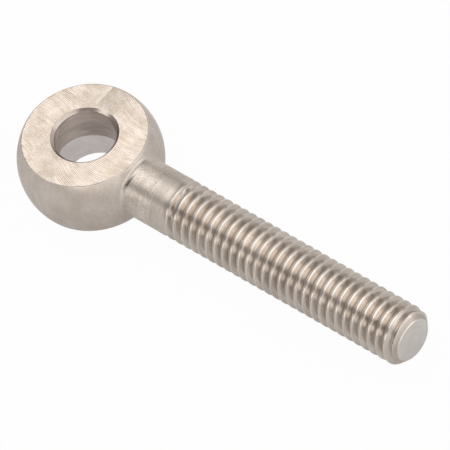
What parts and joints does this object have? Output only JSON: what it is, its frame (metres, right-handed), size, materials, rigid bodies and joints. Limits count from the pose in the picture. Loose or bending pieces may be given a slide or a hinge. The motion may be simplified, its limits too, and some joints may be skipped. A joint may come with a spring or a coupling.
{
  "type": "eye bolt",
  "caption": "Stainless swing bolt: a turned ball milled flat on two sides, cross bored for a hinge pin, on a shank threaded nearly to the neck.",
  "frame": {"origin": "middle of the eye's bore, half way between the two flats", "axes": "+Z along the bore, +X along the shank from the eye to the threaded end"},
  "size_m": [0.047, 0.014, 0.0068],
  "materials": {
    "steel": "milled and turned stainless steel, satin"
  },
  "bodies": {
    "root": {"eye_bolt": "steel"}
  },
  "joints": []
}
